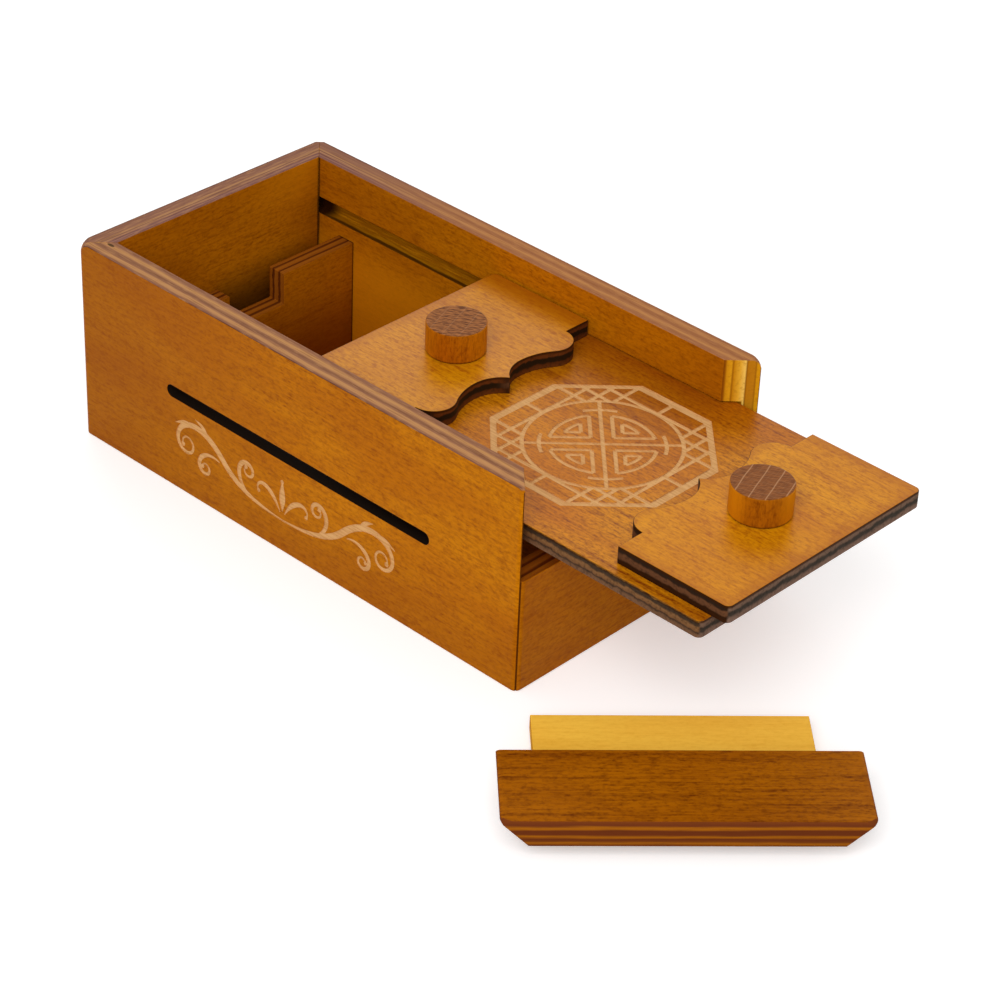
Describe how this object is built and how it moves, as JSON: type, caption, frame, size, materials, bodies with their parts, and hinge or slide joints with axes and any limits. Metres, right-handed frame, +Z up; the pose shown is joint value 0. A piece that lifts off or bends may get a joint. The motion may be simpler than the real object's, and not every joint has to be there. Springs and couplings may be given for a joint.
{
  "type": "wooden puzzle box",
  "caption": "Plywood puzzle box with a sliding lid in grooved walls, bracket-edged plates with dowel knobs, a narrow slot, and a lift-out end panel that locks the lid.",
  "frame": {"origin": "middle of the box's underside", "axes": "+X along the box towards its open end, +Y towards the back wall, +Z up"},
  "size_m": [0.2855, 0.1474, 0.0646],
  "materials": {
    "wall_ply": "amber stained plywood, satin",
    "inner_ply": "amber stained plywood, matte",
    "lid_ply": "stained plywood, burnt cut edges",
    "plate_ply": "stained plywood, burnt cut edges",
    "knob_wood": "stained dowel, end grain on top",
    "end_ply": "amber stained plywood, satin",
    "tongue_ply": "pale varnished plywood",
    "screw_steel": "zinc plated"
  },
  "bodies": {
    "box": {"front_wall": "wall_ply", "back_wall": "wall_ply", "left_end_wall": "wall_ply", "low_end_wall": "wall_ply", "bottom_panel": "inner_ply", "inner_divider": "inner_ply", "corner_block": "inner_ply"},
    "lid": {"lid_panel": "lid_ply", "left_plate": "plate_ply", "right_plate": "plate_ply", "left_knob": "knob_wood", "right_knob": "knob_wood", "left_knob_screw": "screw_steel", "right_knob_screw": "screw_steel"},
    "end_panel": {"end_board": "end_ply", "end_tongue": "tongue_ply"}
  },
  "joints": [
    {"name": "lid_slide", "type": "slide", "parent": "box", "child": "lid", "axis": [1, 0, 0], "range_m": [-0.0744, 0.085]},
    {"name": "end_panel_lift", "type": "slide", "parent": "box", "child": "end_panel", "axis": [0, 0, 1], "range_m": [0, 0.03]}
  ]
}
